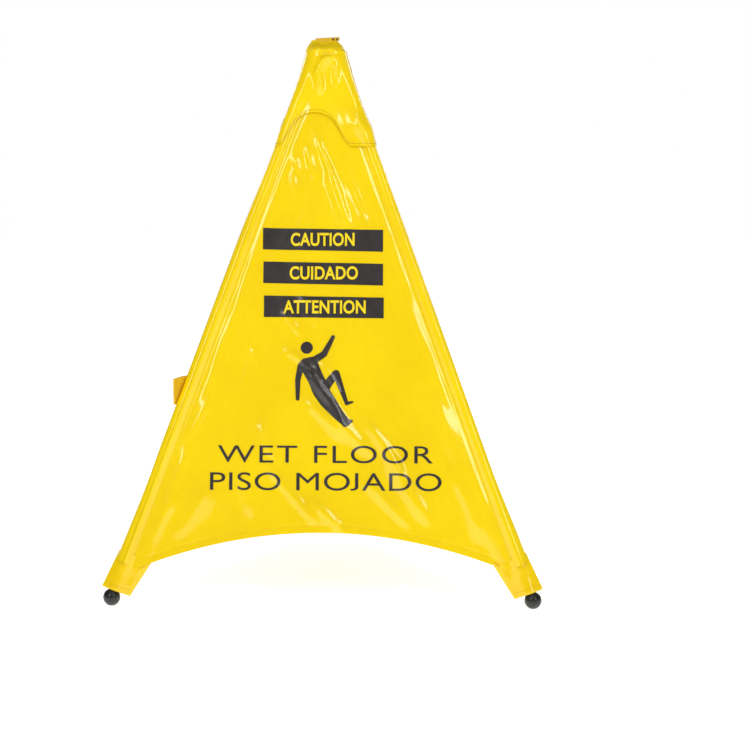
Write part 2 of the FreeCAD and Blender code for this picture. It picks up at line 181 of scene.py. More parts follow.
class Finish:
    """One material: a principled shader, and the nodes that feed it."""

    def __init__(self, name, colour, roughness, **sockets):
        self.material = bpy.data.materials.new(name)
        self.material.use_nodes = True
        self.shader = self.material.node_tree.nodes["Principled BSDF"]
        self.shader.inputs["Base Color"].default_value = (*colour, 1)
        self.shader.inputs["Roughness"].default_value = roughness
        for socket, value in sockets.items():
            self.shader.inputs[socket.replace("_", " ")].default_value = value

    def node(self, kind, settings=None, values=None, output=0):
        """Adds a node, sets it up, then gives its sockets their values or links."""
        made = self.material.node_tree.nodes.new(kind)
        for name, setting in (settings or {}).items():
            setattr(made, name, setting)
        for socket, value in (values or {}).items():
            self.join(value, made.inputs[socket])
        return Signal(self, made.outputs[output])

    def join(self, value, socket):
        if isinstance(value, Signal):
            self.material.node_tree.links.new(value.socket, socket)
        elif isinstance(value, tuple) and len(value) == 3 and socket.type == "RGBA":
            socket.default_value = (*value, 1)
        else:
            socket.default_value = value

    def feed(self, socket, value):
        self.join(value, self.shader.inputs[socket])

    def place(self, scale=1.0, stretch=(1, 1, 1)):
        """Object coordinates, scaled."""
        where = self.node("ShaderNodeTexCoord", output="Object")
        return self.node("ShaderNodeMapping", None, {0: where, 3: tuple(scale * s for s in stretch)})

    def cut(self):
        """Place on the cut cloth, in metres."""
        return self.node("ShaderNodeUVMap", {"uv_map": "cloth"})

    def speckle(self, where, scale, detail=2.0, rough=0.5):
        """Noise between 0 and 1, about 0.5."""
        values = {"Vector": where, "Scale": scale, "Detail": detail, "Roughness": rough}
        return self.node("ShaderNodeTexNoise", None, values)

    def shade(self, mask, dark, light):
        """Colour between two, by a mask."""
        return self.node("ShaderNodeMix", {"data_type": "RGBA"}, {0: mask, 6: dark, 7: light}, output=2)

    def bump(self, height, distance, strength=1.0):
        self.feed("Normal", self.node("ShaderNodeBump", None, {
            "Height": height, "Distance": distance, "Strength": strength,
        }))


def refinish(names, finish):
    """Gives CAD nodes a finish in place of their plain one."""
    for name in names:
        mesh = nodes[name].data
        mesh.materials.clear()
        mesh.materials.append(finish.material)


nylon = Finish("moulded_nylon", (0.02, 0.02, 0.022), 0.5)
grain = nylon.speckle(nylon.place(), 900, 3)
cloudy = nylon.speckle(nylon.place(), 60, 2)
nylon.feed("Base Color", nylon.shade(cloudy, (0.014, 0.014, 0.016), (0.032, 0.032, 0.034)))
nylon.feed("Roughness", grain * 0.2 + 0.36)
nylon.bump(grain, 0.0001, 0.6)

plated = Finish("zinc_plated_steel", (0.62, 0.62, 0.6), 0.3, Metallic=1.0)
tarnish = plated.speckle(plated.place(), 220, 4, 0.6)
plated.feed("Base Color", plated.shade(tarnish, (0.45, 0.44, 0.4), (0.72, 0.72, 0.7)))
plated.feed("Roughness", tarnish * 0.3 + 0.18)
plated.bump(plated.speckle(plated.place(), 1500, 2), 0.00005, 0.4)

refinish(["hub_body", "hub_cap"] + [f"leg_knuckle_{leg}" for leg in ("left", "right", "rear")], nylon)
refinish(["cap_screw"], plated)


# ---- Hinge pins, torsion springs and leg tubes
# Ground steel pins, blued music-wire springs, and pultruded glass-fibre tubes with lengthwise streaks.
# They keep their CAD shapes.

LEGS = {"left": -150.0, "right": -30.0, "rear": 90.0}

spring_steel = Finish("music_wire", (0.3, 0.31, 0.34), 0.28, Metallic=1.0)
heat = spring_steel.speckle(spring_steel.place(), 400, 3)
spring_steel.feed("Base Color", spring_steel.shade(heat, (0.2, 0.21, 0.25), (0.42, 0.42, 0.44)))
spring_steel.feed("Roughness", heat * 0.2 + 0.2)

pultruded = Finish("pultruded_tube", (0.6, 0.6, 0.57), 0.4)
fibres = pultruded.speckle(pultruded.place(1.0, (1, 1, 0.12)), 900, 4, 0.7)
pultruded.feed("Base Color", pultruded.shade(fibres, (0.46, 0.46, 0.43), (0.74, 0.74, 0.71)))
pultruded.feed("Roughness", fibres * 0.25 + 0.28)
pultruded.bump(fibres, 0.0001, 0.5)

refinish([f"hinge_pin_{leg}" for leg in LEGS], plated)
refinish([f"torsion_spring_{leg}" for leg in LEGS], spring_steel)
refinish([f"leg_tube_{leg}" for leg in LEGS], pultruded)


# ---- Ball feet
# Moulded rubber balls pushed on the ends of the tubes, scuffed and dusty where they meet the floor.
# They keep their CAD shapes.

rubber = Finish("black_rubber", (0.02, 0.02, 0.021), 0.4)
scuff = rubber.speckle(rubber.place(), 260, 5, 0.65).ramp(0.5, 0.75)
height = rubber.node("ShaderNodeSeparateXYZ", None, {0: rubber.place()}, output=2)
dust = (1 - height.ramp(0.0, 0.009)) * 0.6 + scuff * 0.4
rubber.feed("Base Color", rubber.shade(dust, (0.016, 0.016, 0.017), (0.075, 0.072, 0.068)))
rubber.feed("Roughness", dust * 0.35 + 0.3)
rubber.bump(rubber.speckle(rubber.place(), 1200, 2), 0.0001, 0.4)
refinish([f"ball_foot_{leg}" for leg in LEGS], rubber)


# ---- Cover
# Three panels of urethane-coated nylon are sewn together along the legs, and each corner seam is a
# pocket that a leg tube runs in. A line of stitching beside the tube pulls the cloth into a crease.
# Each panel is made as two halves, which meet at its middle, and a corner strip for each leg.

MM = 0.001
HALF_SECTOR = math.radians(60)  # from a leg to the middle of a panel beside it
PIVOT_R = 22.5
PIVOT_Z = 726.0
FOOT_R = 327.0
BALL_Z = 11.0
# Each panel's azimuth, and the legs at its two sides.
PANELS = {
    "front": (-90.0, "left", "right"),
    "right": (30.0, "right", "rear"),
    "left": (150.0, "rear", "left"),
}
PANEL_TOP = 45.0  # down the panel from the pivots' height
LEG_END_OF_PANEL = 717.2  # down the leg, just above the cuff
HEM_MIDDLE = 643.2
HEM_START = {"front": 33.0, "right": 23.5, "left": 23.5}  # in from the leg, where each hem meets its cuff
TUBE_SLEEVE_R = 7.3
COLUMNS = 74
ROWS = 210
STRIP_COLUMNS = 10
WRAP_COLUMNS = 14
POCKET_COLUMNS = 12
POCKET_TOP, POCKET_END = 130.0, 712.0  # the band behind each tube, along the leg
POCKET_SEAM = 9.6  # how far in from the leg it is sewn on
POCKET_SNUG = 2.0

leg_tilt = math.atan2(FOOT_R - PIVOT_R, PIVOT_Z - BALL_Z)
panel_tilt = math.atan(math.tan(leg_tilt) / 2)
half_spread = math.asin(math.sin(HALF_SECTOR) * math.sin(leg_tilt))
sin_s, cos_s, tan_s = math.sin(half_spread), math.cos(half_spread), math.tan(half_spread)
half_top = PIVOT_R * math.sin(HALF_SECTOR)
strip_width = half_top / cos_s  # where the folded halves of a panel meet, beside each leg


def radial(azimuth):
    turn = math.radians(azimuth)
    return Vector((math.cos(turn), math.sin(turn), 0))


def panel_point(azimuth, across, down, lift):
    """Place in metres of a point across and down a panel, lifted from the plane of its two leg axes."""
    out = PIVOT_R / 2 + down * math.sin(panel_tilt) + lift * math.cos(panel_tilt)
    place = radial(azimuth) * out + radial(azimuth + 90) * across
    place.z = PIVOT_Z - down * math.cos(panel_tilt) + lift * math.sin(panel_tilt)
    return place * MM + hub_axis


def panel_out(panel):
    """Direction out of a panel's face."""
    azimuth = PANELS[panel][0]
    return (panel_point(azimuth, 0, 0, 1) - panel_point(azimuth, 0, 0, 0)).normalized()


def nearest_panel(azimuth):
    return min(PANELS, key=lambda panel: abs((PANELS[panel][0] - azimuth + 180) % 360 - 180))


def half_panels():
    """Each half of each panel: the panel, the leg beside it, and the side it is on."""
    for panel, (_, first, second) in PANELS.items():
        yield panel, first, -1
        yield panel, second, 1


def leg_axis_point(leg, along):
    """Point of a leg's axis, in mm from the hub's axis at the floor."""
    axis = radial(LEGS[leg]) * (PIVOT_R + along * math.sin(leg_tilt))
    axis.z = PIVOT_Z - along * math.cos(leg_tilt)
    return axis


def ease(value, low, high):
    t = min(max((value - low) / (high - low), 0), 1)
    return t * t * (3 - 2 * t)


def leg_side(along, inward):
    """Distance across and down a panel, of a point down a leg and in from it."""
    return half_top + along * sin_s - inward * cos_s, along * cos_s + inward * sin_s


def from_leg(across, down):
    """Distance of a panel's point from the nearer leg's axis, and its distance down that leg."""
    out = abs(across) - half_top
    return down * sin_s - out * cos_s, out * sin_s + down * cos_s


# The cloth's height over the plane of the leg axes, by the distance from the leg: tube, crease, swell, flat.
SEAM_PROFILE = [
    (0, 7.3), (3.5, 6.9), (6.5, 5.4), (8.5, 4.0), (10, 3.7), (12.5, 4.4),
    (16.5, 5.7), (21, 6.2), (27, 6.1), (38, 5.6), (60, 5.2), (500, 5.2),
]


def seam_lift(inward):
    """The profile's height at a distance in from the leg."""
    for (x0, y0), (x1, y1) in zip(SEAM_PROFILE, SEAM_PROFILE[1:]):
        if inward <= x1:
            return y0 + (y1 - y0) * ease(inward, x0, x1)
    return SEAM_PROFILE[-1][1]


# Tension folds: where each starts and ends on the panel, its half width and its height, all in mm.
FOLDS = {
    "front": [
        ((-53, 108), (-34, 155), 5, 3.0), ((-46, 150), (-38, 186), 4.5, 2.0), ((-27, 114), (-12, 161), 5, 2.4),
        ((-15, 95), (11, 161), 5, 3.0), ((3, 146), (34, 233), 9, 4.6), ((29, 161), (58, 226), 6, -2.4),
        ((57, 133), (68, 183), 5, 2.0), ((-68, 114), (-74, 161), 5, 1.8), ((-56, 343), (-30, 377), 5, 2.6),
        ((-32, 320), (-8, 367), 6, 2.2), ((-52, 395), (-7, 426), 5, 3.2), ((-27, 417), (36, 502), 7, 4.2),
        ((-7, 406), (27, 463), 5, 2.6), ((-23, 463), (31, 520), 7, 3.6), ((5, 479), (70, 541), 8, 4.0),
        ((52, 485), (112, 567), 8, 4.2), ((81, 534), (147, 633), 11, 4.2), ((56, 569), (119, 636), 7, 2.8),
        ((-86, 495), (-63, 549), 7, 2.6), ((-77, 549), (-41, 591), 7, 2.6), ((-48, 584), (-5, 632), 7, 3.4),
        ((-16, 599), (29, 641), 7, 3.4), ((-114, 549), (-92, 626), 9, 2.2), ((106, 320), (149, 405), 7, 2.4),
        ((94, 227), (126, 320), 7, 2.8), ((147, 448), (194, 575), 8, 1.8), ((174, 554), (221, 659), 9, 2.4),
        ((-144, 371), (-164, 442), 7, 2.4), ((-158, 464), (-186, 521), 8, 2.0), ((-182, 529), (-220, 613), 9, 2.6),
        ((-199, 595), (-241, 663), 9, 3.0), ((-149, 577), (-198, 652), 12, 2.4), ((-95, 392), (-87, 424), 5, 1.8),
        ((-117, 306), (-124, 349), 5, 1.8),
    ],
    "right": [
        ((44, 130), (6, 230), 7, 3.0), ((-20, 160), (-46, 300), 8, 3.4), ((60, 380), (-10, 470), 10, 4.9),
        ((10, 440), (-90, 580), 11, 5.3), ((-70, 330), (-110, 430), 8, -2.8), ((-110, 480), (-170, 620), 9, 4.2),
        ((110, 420), (150, 560), 9, 3.0), ((60, 560), (10, 655), 12, 3.0), ((150, 560), (210, 664), 9, 4.2),
        ((-150, 600), (-215, 668), 9, -3.0), ((90, 280), (112, 400), 7, 2.5),
    ],
    "left": [
        ((-40, 130), (0, 235), 7, 3.2), ((24, 165), (55, 310), 8, 3.2), ((-60, 370), (10, 470), 9, 4.6),
        ((0, 440), (90, 590), 11, 4.9), ((-90, 300), (-124, 430), 8, 2.8), ((100, 440), (165, 610), 9, -3.6),
        ((-60, 540), (-20, 650), 11, 3.0), ((150, 560), (214, 664), 9, 4.4), ((-150, 560), (-210, 660), 10, 3.8),
        ((60, 560), (110, 650), 9, 2.7),
    ],
}
PANEL_SEED = {"front": 3.1, "right": 17.7, "left": 41.3}


def folds_at(folds, x, y, taper):
    """Height of a list's folds at a point. Each fades over a share of its length at either end, its taper."""
    total = 0.0
    for (x0, y0), (x1, y1), width, rise in folds:
        run_x, run_y = x1 - x0, y1 - y0
        length = math.hypot(run_x, run_y)
        along = ((x - x0) * run_x + (y - y0) * run_y) / length
        away = abs((x - x0) * run_y - (y - y0) * run_x) / length
        if -width < along < length + width and away < 3 * width:
            fade = ease(along, -width, length * taper)
            fade *= 1 - ease(along, length * (1 - taper), length + width)
            total += rise * fade * math.exp(-((away / width) ** 2))
    return total


def fold_lift(panel, across, down):
    """Height of the tension folds and slack at a point of a panel."""
    total = folds_at(FOLDS[panel], across, down, 0.28)
    seed = PANEL_SEED[panel]
    slack = noise.noise(Vector((across * 0.008, down * 0.006, seed))) * 3.0
    slanted = Vector(((across + down * 0.45) * 0.03, (down - across * 0.45) * 0.009, seed + 9))
    return total + slack + noise.noise(slanted) * 0.9


SLEEVE_SLACK = {"left": 2.6, "right": 0.2, "rear": 1.4}


def sleeve_r(leg, along):
    """Radius of the cloth round a tube. The pocket hangs loose at its middle and widens towards its cuff."""
    slack = SLEEVE_SLACK[leg] * ease(along, 140, 260) * (1 - ease(along, 560, 690))
    return TUBE_SLEEVE_R + slack + 4.2 * ease(along, 590, 720)


def hem_bow(panel):
    """How fast a panel's hem drops away from its middle, per mm squared."""
    across, down = leg_side(LEG_END_OF_PANEL, HEM_START[panel])
    return (down - HEM_MIDDLE) / across ** 2


def hem_line(panel, across):
    """Distance down a panel of its hem."""
    return HEM_MIDDLE + hem_bow(panel) * across ** 2


def cloth_lift(panel, across, down):
    """Height of a panel's cloth over the plane of its leg axes."""
    inward, along = from_leg(across, down)
    leg = PANELS[panel][1 if across < 0 else 2]
    loose = ease(inward, 11, 34)
    above_hem = hem_line(panel, across) - down
    hem_wave = (1 - ease(above_hem, 0, 90)) * (2.2 * math.sin(across * 0.034 + PANEL_SEED[panel]) - 2.0)
    hem_pull = -0.5 * math.exp(-(((above_hem - 9) / 1.6) ** 2))
    under_yoke = ease(down, 70, 150)
    rippled = Vector((inward * 0.12, along * 0.022, PANEL_SEED[panel] + 5))
    ripple = 0.5 * noise.noise(rippled) * ease(inward, 3, 12)
    tube = (sleeve_r(leg, along) - TUBE_SLEEVE_R) * (1 - ease(inward, 0, 14))
    folds = fold_lift(panel, across, down) * (0.3 + 0.7 * under_yoke)
    return seam_lift(inward) + tube + loose * (folds + hem_wave + hem_pull) + ripple


def cloth_point(panel, across, down, over=0.0):
    """Place of a point of a panel's cloth, or a little over it."""
    azimuth = PANELS[panel][0]
    return panel_point(azimuth, across, down, cloth_lift(panel, across, down) + over)


def half_panel_place(panel, share_in, share_down):
    """Distance across and down a half panel, from shares of its width and of its length at that place."""
    lean = cos_s + share_in * tan_s * sin_s
    top = (PANEL_TOP - strip_width * sin_s) / lean
    bow = hem_bow(panel) * (sin_s * (1 - share_in)) ** 2
    drop = HEM_MIDDLE - strip_width * sin_s
    low = drop / lean
    for _ in range(8):
        low = (drop + bow * low * low) / lean
    along = top + (low - top) * share_down
    return along * sin_s * (1 - share_in), strip_width * sin_s + along * lean


def finish_piece(name, mesh, finish):
    """Makes an object of a mesh, at the origin."""
    piece = bpy.data.objects.new(name, mesh)
    mesh.materials.append(finish.material)
    mesh.shade_smooth()
    bpy.context.scene.collection.objects.link(piece)
    return piece


def shaped_grid(name, columns, rows, shape):
    """Mesh of a grid moved to shape(share across, share down), with a UV map in metres of the cut cloth.

    shape gives a place, and the place's own distance across and down the cut cloth."""
    cloth = bmesh.new()
    bmesh.ops.create_grid(cloth, x_segments=columns, y_segments=rows, size=1)
    cut = {}
    for vert in cloth.verts:
        share_x, share_y = (vert.co.x + 1) / 2, (1 - vert.co.y) / 2
        vert.co, cut[vert.index] = shape(share_x, share_y)
    layer = cloth.loops.layers.uv.new("cloth")
    for face in cloth.faces:
        for loop in face.loops:
            loop[layer].uv = cut[loop.vert.index]
    mesh = bpy.data.meshes.new(name)
    cloth.to_mesh(mesh)
    cloth.free()
    return mesh


def face_outward(mesh):
    """Turns an open sheet over if its faces look at the hub's axis."""
    level = Vector((1, 1, 0))
    if sum(((face.center - hub_axis) * level).dot(face.normal) for face in mesh.polygons) < 0:
        mesh.flip_normals()


def woven(finish, cut, scale_x, scale_y):
    """Waves across and down a cloth."""
    waves = []
    for way, scale in (("X", scale_x), ("Y", scale_y)):
        settings = {"wave_type": "BANDS", "bands_direction": way}
        waves.append(finish.node("ShaderNodeTexWave", settings, {"Vector": cut, "Scale": scale}, output=1))
    return waves


def coated_cloth(name, dark, light):
    """Glossy urethane coat over a fine plain weave, a little uneven in colour and gloss."""
    cloth = Finish(name, light, 0.38, Coat_Roughness=0.12, Specular_IOR_Level=0.12)
    cut = cloth.cut()
    cloudy = cloth.speckle(cut, 7, 4, 0.55).ramp(0.3, 0.7)
    fine = cloth.speckle(cut, 75, 3, 0.55)
    cloth.feed("Base Color", cloth.shade(cloudy, dark, light))
    cloth.feed("Roughness", fine * 0.14 + 0.32)
    cloth.feed("Coat Weight", cloudy * 0.2 + 0.75)
    warp, weft = woven(cloth, cut, 500.0, 500.0)
    crinkled = cloth.speckle(cut, 30, 4, 0.5)
    creased = cloth.speckle(cut, 13, 3, 0.45)
    cloth.bump((warp + weft) * 0.03 + fine * 0.2 + crinkled * 1.4 + creased * 1.7, 0.0012, 0.7)
    return cloth


yellow_cloth = coated_cloth("coated_yellow_cloth", (0.91, 0.64, 0.0), (0.98, 0.71, 0.0))

cover_pieces = []
for panel, leg, side in half_panels():

    def half_shape(share_in, share_down, panel=panel, side=side):
        across, down = half_panel_place(panel, share_in, share_down)
        place = cloth_point(panel, side * across, down)
        return place, (side * across * MM, down * MM)

    name = f"cover_half_{panel}_{leg}"
    mesh = shaped_grid(name, COLUMNS, ROWS, half_shape)
    face_outward(mesh)
    cover_pieces.append((finish_piece(name, mesh, yellow_cloth), leg, panel, side))

for leg in LEGS:
    panel_a = next(p for p, (_, first, second) in PANELS.items() if second == leg)
    panel_b = next(p for p, (_, first, second) in PANELS.items() if first == leg)
    wrap_share = WRAP_COLUMNS / (WRAP_COLUMNS + 2 * STRIP_COLUMNS)
    strip_share = (1 - wrap_share) / 2
    normal_a = panel_out(panel_a)
    normal_b = panel_out(panel_b)

    def corner_shape(share_x, share_down, leg=leg, panel_a=panel_a, panel_b=panel_b,
                     normal_a=normal_a, normal_b=normal_b):
        top = (half_panel_place(panel_a, 0, 0)[1] - strip_width * sin_s) / cos_s
        low_a = (half_panel_place(panel_a, 0, 1)[1] - strip_width * sin_s) / cos_s
        low_b = (half_panel_place(panel_b, 0, 1)[1] - strip_width * sin_s) / cos_s
        over = min(max((share_x - strip_share) / wrap_share, 0), 1)
        along = top + (low_a + (low_b - low_a) * over - top) * share_down
        if share_x < strip_share or share_x > 1 - strip_share:
            on_a = share_x < strip_share
            panel = panel_a if on_a else panel_b
            inward = strip_width * (1 - (share_x if on_a else 1 - share_x) / strip_share)
            across, down = leg_side(along, inward)
            side = 1 if on_a else -1
            return cloth_point(panel, side * across, down), (side * across * MM, down * MM)
        turn = (share_x - strip_share) / wrap_share
        out = normal_a.slerp(normal_b, turn)
        place = (leg_axis_point(leg, along) + out * sleeve_r(leg, along)) * MM + hub_axis
        side_across = half_top + along * sin_s + turn * 15
        return place, (side_across * MM, along * cos_s * MM)

    name = f"cover_corner_{leg}"
    mesh = shaped_grid(name, WRAP_COLUMNS + 2 * STRIP_COLUMNS, ROWS, corner_shape)
    face_outward(mesh)
    cover_pieces.append((finish_piece(name, mesh, yellow_cloth), leg, None, 0))

    def pocket_shape(share_x, share_down, leg=leg, panel_a=panel_a, panel_b=panel_b):
        along = POCKET_TOP + (POCKET_END - POCKET_TOP) * share_down
        across, down = leg_side(along, POCKET_SEAM)
        axis = leg_axis_point(leg, along) * MM + hub_axis
        seam_a = cloth_point(panel_a, across, down, -0.3) - axis
        seam_b = cloth_point(panel_b, -across, down, -0.3) - axis
        reach = seam_a.length * (1 - share_x) + seam_b.length * share_x
        reach -= POCKET_SNUG * MM * math.sin(math.pi * share_x)
        way = seam_a.normalized().slerp(seam_b.normalized(), share_x)
        return axis + way * reach, (share_x * 22 * MM, along * MM)

    name = f"pocket_{leg}"
    pocket = finish_piece(name, shaped_grid(name, POCKET_COLUMNS, ROWS, pocket_shape), yellow_cloth)
    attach(pocket, f"leg_{leg}")


def share_normals(pieces):
    """Gives vertices that touch across pieces the same normal, so that a join doesn't show in the gloss."""
    total = {}
    for piece in pieces:
        for vert in piece.data.vertices:
            key = tuple(round(c, 5) for c in vert.co)
            total[key] = total.get(key, Vector()) + vert.normal
    for piece in pieces:
        shared = [total[tuple(round(c, 5) for c in vert.co)].normalized() for vert in piece.data.vertices]
        piece.data.normals_split_custom_set_from_vertices(shared)


share_normals([piece for piece, *_ in cover_pieces])


def folds_with(piece, leg, panel, side):
    """Rides on a leg, with a mesh of its own."""
    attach(piece, f"leg_{leg}")
    azimuth = PANELS[panel][0]
    (a0, d0), (a1, d1) = leg_side(300, strip_width), leg_side(300, strip_width + 10)
    start = panel_point(azimuth, side * a0, d0, SEAM_PROFILE[-1][1])
    end = panel_point(azimuth, side * a1, d1, SEAM_PROFILE[-1][1])
    tuple(end - start)
    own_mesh(piece)


def flat_size(panel):
    """Width, length and area in metres of a half panel as cut."""
    rim = [half_panel_place(panel, 0, t / 20) for t in range(21)]
    rim += [half_panel_place(panel, t / 20, 1) for t in range(1, 21)]
    rim += [half_panel_place(panel, 1, 1 - t / 20) for t in range(1, 21)]
    area = sum(x0 * y1 - x1 * y0 for (x0, y0), (x1, y1) in zip(rim, rim[1:] + rim[:1])) / 2
    width = max(x for x, _ in rim)
    length = max(y for _, y in rim) - PANEL_TOP
    return (width * MM, length * MM), abs(area) * MM * MM


for piece, leg, panel, side in cover_pieces:
    if panel:
        folds_with(piece, leg, panel, side)
        if side < 0:
            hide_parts(f"cover_panel_{panel}")
        flat, area = flat_size(panel)
    else:
        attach(piece, f"leg_{leg}")
        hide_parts(f"leg_sleeve_{leg}")


# ---- Yoke
# A second layer of the same cloth sewn over the top, with a scallop over each panel. It was sewn on
# slightly turned, so its scallops sit to one side. It covers the hub, and its points follow the legs.

YOKE_BOTTOM = 613.0
YOKE_TOP = 741.0
YOKE_TWIST = -15.0
YOKE_COLUMNS = 18
YOKE_ROWS = 64
# Height, the corner circles' distance from the hub's axis, or None where they follow the legs, and radius.
YOKE_SECTIONS = [
    (600, None, 9.6), (672, None, 9.8), (690, 37.0, 10.8),
    (712, 24.0, 14.9), (726, 15.0, 19.1), (741, 7.0, 21.6),
]
# Distance from the scallop's middle, and height over its foot.
YOKE_SCALLOP = [
    (0.0, 46.0), (11, 44.9), (22.0, 39.5), (28, 33), (33.0, 25.0), (37, 16.5), (41.0, 9.5), (48.6, 0.0),
]


def leg_out(z):
    """Distance of a leg's axis from the hub's axis at a height."""
    return PIVOT_R + (PIVOT_Z - z) * math.tan(leg_tilt)


def yoke_section(z):
    """Distance of the corner circles' centres from the hub's axis at a height, and their radius."""
    table = [(h, leg_out(h) if c is None else c, r) for h, c, r in YOKE_SECTIONS]
    for (z0, c0, r0), (z1, c1, r1) in zip(table, table[1:]):
        if z <= z1:
            t = (z - z0) / (z1 - z0)
            return c0 + (c1 - c0) * t, r0 + (r1 - r0) * t
    return table[-1][1:]


def smooth_section(z):
    """The section, averaged over a few millimetres of height."""
    near = [yoke_section(min(max(z + step, 601), 741)) for step in (-9, -5, -2, 0, 2, 5, 9)]
    return sum(c for c, _ in near) / len(near), sum(r for _, r in near) / len(near)


def yoke_runs(z):
    """Lengths round half a sector of the section: its straight part and its corner's arc."""
    centre, radius = smooth_section(z)
    return centre * math.sin(HALF_SECTOR), radius * HALF_SECTOR


def scallop_height(across):
    """Height of the yoke's lower edge at a distance across a panel."""
    away = abs(across - YOKE_TWIST)
    for (x0, y0), (x1, y1) in zip(YOKE_SCALLOP, YOKE_SCALLOP[1:]):
        if away <= x1:
            return YOKE_BOTTOM + y0 + (y1 - y0) * (away - x0) / (x1 - x0)
    return YOKE_BOTTOM


# Gathers of the yoke: across, height, to across, to height, half width and rise, on each panel.
YOKE_GATHERS = [
    ((21, 742), (-3, 728), 6, 4.2), ((0, 733), (-12, 709), 7, 5.0), ((-12, 716), (-5, 684), 6, 4.6),
    ((14, 731), (15, 688), 4.5, 3.0), ((-24, 722), (-34, 684), 4, 1.6),
    ((28, 668), (52, 616), 7, 2.0), ((46, 657), (54, 632), 5, 3.0),
]
YOKE_SWELL = {-150.0: 0.2, -30.0: 2.6, 90.0: 1.4}  # how far the lower corners stand off the legs


def yoke_lift(panel, across, z):
    """Height of the yoke's gathers at a point over a panel."""
    uneven = noise.noise(Vector((across * 0.03, z * 0.022, PANEL_SEED[panel]))) * 1.3
    return folds_at(YOKE_GATHERS, across, z, 0.4) + 1.5 + uneven


def yoke_point(azimuth, turn_share, z):
    """Point of the yoke in a leg's sector. turn_share runs from one panel's middle, -1, to the next, 1."""
    centre, radius = smooth_section(z)
    straight, arc = yoke_runs(z)
    run = abs(turn_share) * (straight + arc)
    side = 1 if turn_share > 0 else -1
    panel_azimuth = azimuth + side * 60
    panel = nearest_panel(panel_azimuth)
    if run <= arc:
        out = radial(azimuth + side * math.degrees(run / radius))
        flat = radial(azimuth) * centre + out * radius
        across = -side * (straight + arc - run)
    else:
        out = radial(panel_azimuth)
        across_run = straight - (run - arc)
        flat = out * (centre * 0.5 + radius) + radial(panel_azimuth + 90) * (-side * across_run)
        across = -side * across_run
    lift = yoke_lift(panel, across, z) * ease(run, arc * 0.4, arc * 1.4) * (1 - ease(z, 731, 740.5))
    low = scallop_height(across)
    settle = 1 - ease(z - low, 0, 30)
    down = (PIVOT_Z - z) / math.cos(panel_tilt)
    if run > arc:
        under = cloth_lift(panel, across, down) + 1.3
        plane = radius / math.cos(panel_tilt)
        lift += (under - plane) * settle
    else:
        lift += (TUBE_SLEEVE_R + 1.3 - radius) * settle
    lift += YOKE_SWELL[azimuth] * math.exp(-(((z - 636) / 16) ** 2)) * (1 - ease(run, arc, arc + 14))
    place = flat + out * lift * math.cos(panel_tilt)
    place.z = z + lift * math.sin(panel_tilt)
    return place * MM + hub_axis, across


def yoke_split(z):
    """Share of the half sector, from the leg's middle, that the corner piece takes."""
    straight, arc = yoke_runs(z)
    return (arc + min(straight, strip_width / cos_s)) / (arc + straight)


def edge_height(side, share_of):
    """Height at which a column of the yoke meets its lower edge."""
    low, high = YOKE_BOTTOM, YOKE_BOTTOM + YOKE_SCALLOP[0][1] + 0.5
    for _ in range(22):
        middle = (low + high) / 2
        straight, arc = yoke_runs(middle)
        run = share_of(middle) * (straight + arc)
        across = -side * (straight - (run - arc))
        if scallop_height(across) > middle:
            low = middle
        else:
            high = middle
    return (low + high) / 2


def weld(mesh):
    """Merges the vertices that lie together, as where a tube's first and last columns meet."""
    shell = bmesh.new()
    shell.from_mesh(mesh)
    bmesh.ops.remove_doubles(shell, verts=shell.verts, dist=1e-6)
    bmesh.ops.dissolve_degenerate(shell, edges=shell.edges, dist=1e-6)
    shell.to_mesh(mesh)
    shell.free()


def corner_column(at):
    """Share of the half sector of a corner piece's column, at from -1 to 1, as a function of height."""
    return lambda z: abs(at) * yoke_split(z)


def half_column(at):
    """The same for a column of a half piece, at from 0 beside its corner piece to 1 at the panel's middle."""
    return lambda z: yoke_split(z) + (1 - yoke_split(z)) * at


def yoke_place(azimuth, side, share_of, share_down, raised=0.0, highest=YOKE_TOP):
    """Point of a column of the yoke, between its top and its lower edge, with its place on the cut cloth."""
    low = edge_height(side, share_of)
    z = min(YOKE_TOP + (low - YOKE_TOP) * share_down + raised, highest)
    place, across = yoke_point(azimuth, side * share_of(z), z)
    return place, (across * MM, z * MM)


yoke_pieces = []
for leg, azimuth in LEGS.items():

    def corner_yoke(share_x, share_down, azimuth=azimuth):
        at = 2 * share_x - 1
        return yoke_place(azimuth, 1 if at > 0 else -1, corner_column(at), share_down)

    name = f"yoke_corner_{leg}"
    mesh = shaped_grid(name, 2 * YOKE_COLUMNS, YOKE_ROWS, corner_yoke)
    face_outward(mesh)
    yoke_pieces.append((finish_piece(name, mesh, yellow_cloth), leg, None, 0))
    for side in (-1, 1):
        panel = nearest_panel(azimuth + side * 60)

        def half_yoke(share_x, share_down, azimuth=azimuth, side=side):
            return yoke_place(azimuth, side, half_column(share_x), share_down, highest=709)

        name = f"yoke_half_{panel}_{leg}"
        mesh = shaped_grid(name, YOKE_COLUMNS, YOKE_ROWS, half_yoke)
        weld(mesh)
        face_outward(mesh)
        yoke_pieces.append((finish_piece(name, mesh, yellow_cloth), leg, panel, -side))

# Each part of the yoke as cut: its width and length in metres, and its area.
YOKE_CORNER_CUT = ((0.084, 0.136), 0.0081)
YOKE_WIDE_CUT = ((0.036, 0.1), 0.00123)
YOKE_NARROW_CUT = ((0.024, 0.056), 0.00064)

share_normals([piece for piece, *_ in yoke_pieces])
for piece, leg, panel, side in yoke_pieces:
    flat, area = YOKE_CORNER_CUT
    if panel:
        flat, area = YOKE_WIDE_CUT if leg == PANELS[panel][2] else YOKE_NARROW_CUT
    if panel:
        folds_with(piece, leg, panel, side)
    else:
        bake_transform(piece)
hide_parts("top_yoke")


# ---- Crown and pull tab
# Above the hub's cap the cover is gathered, folded flat and sewn shut. A tab of folded webbing is
# riveted over the fold, to pull the sign out of its case by.

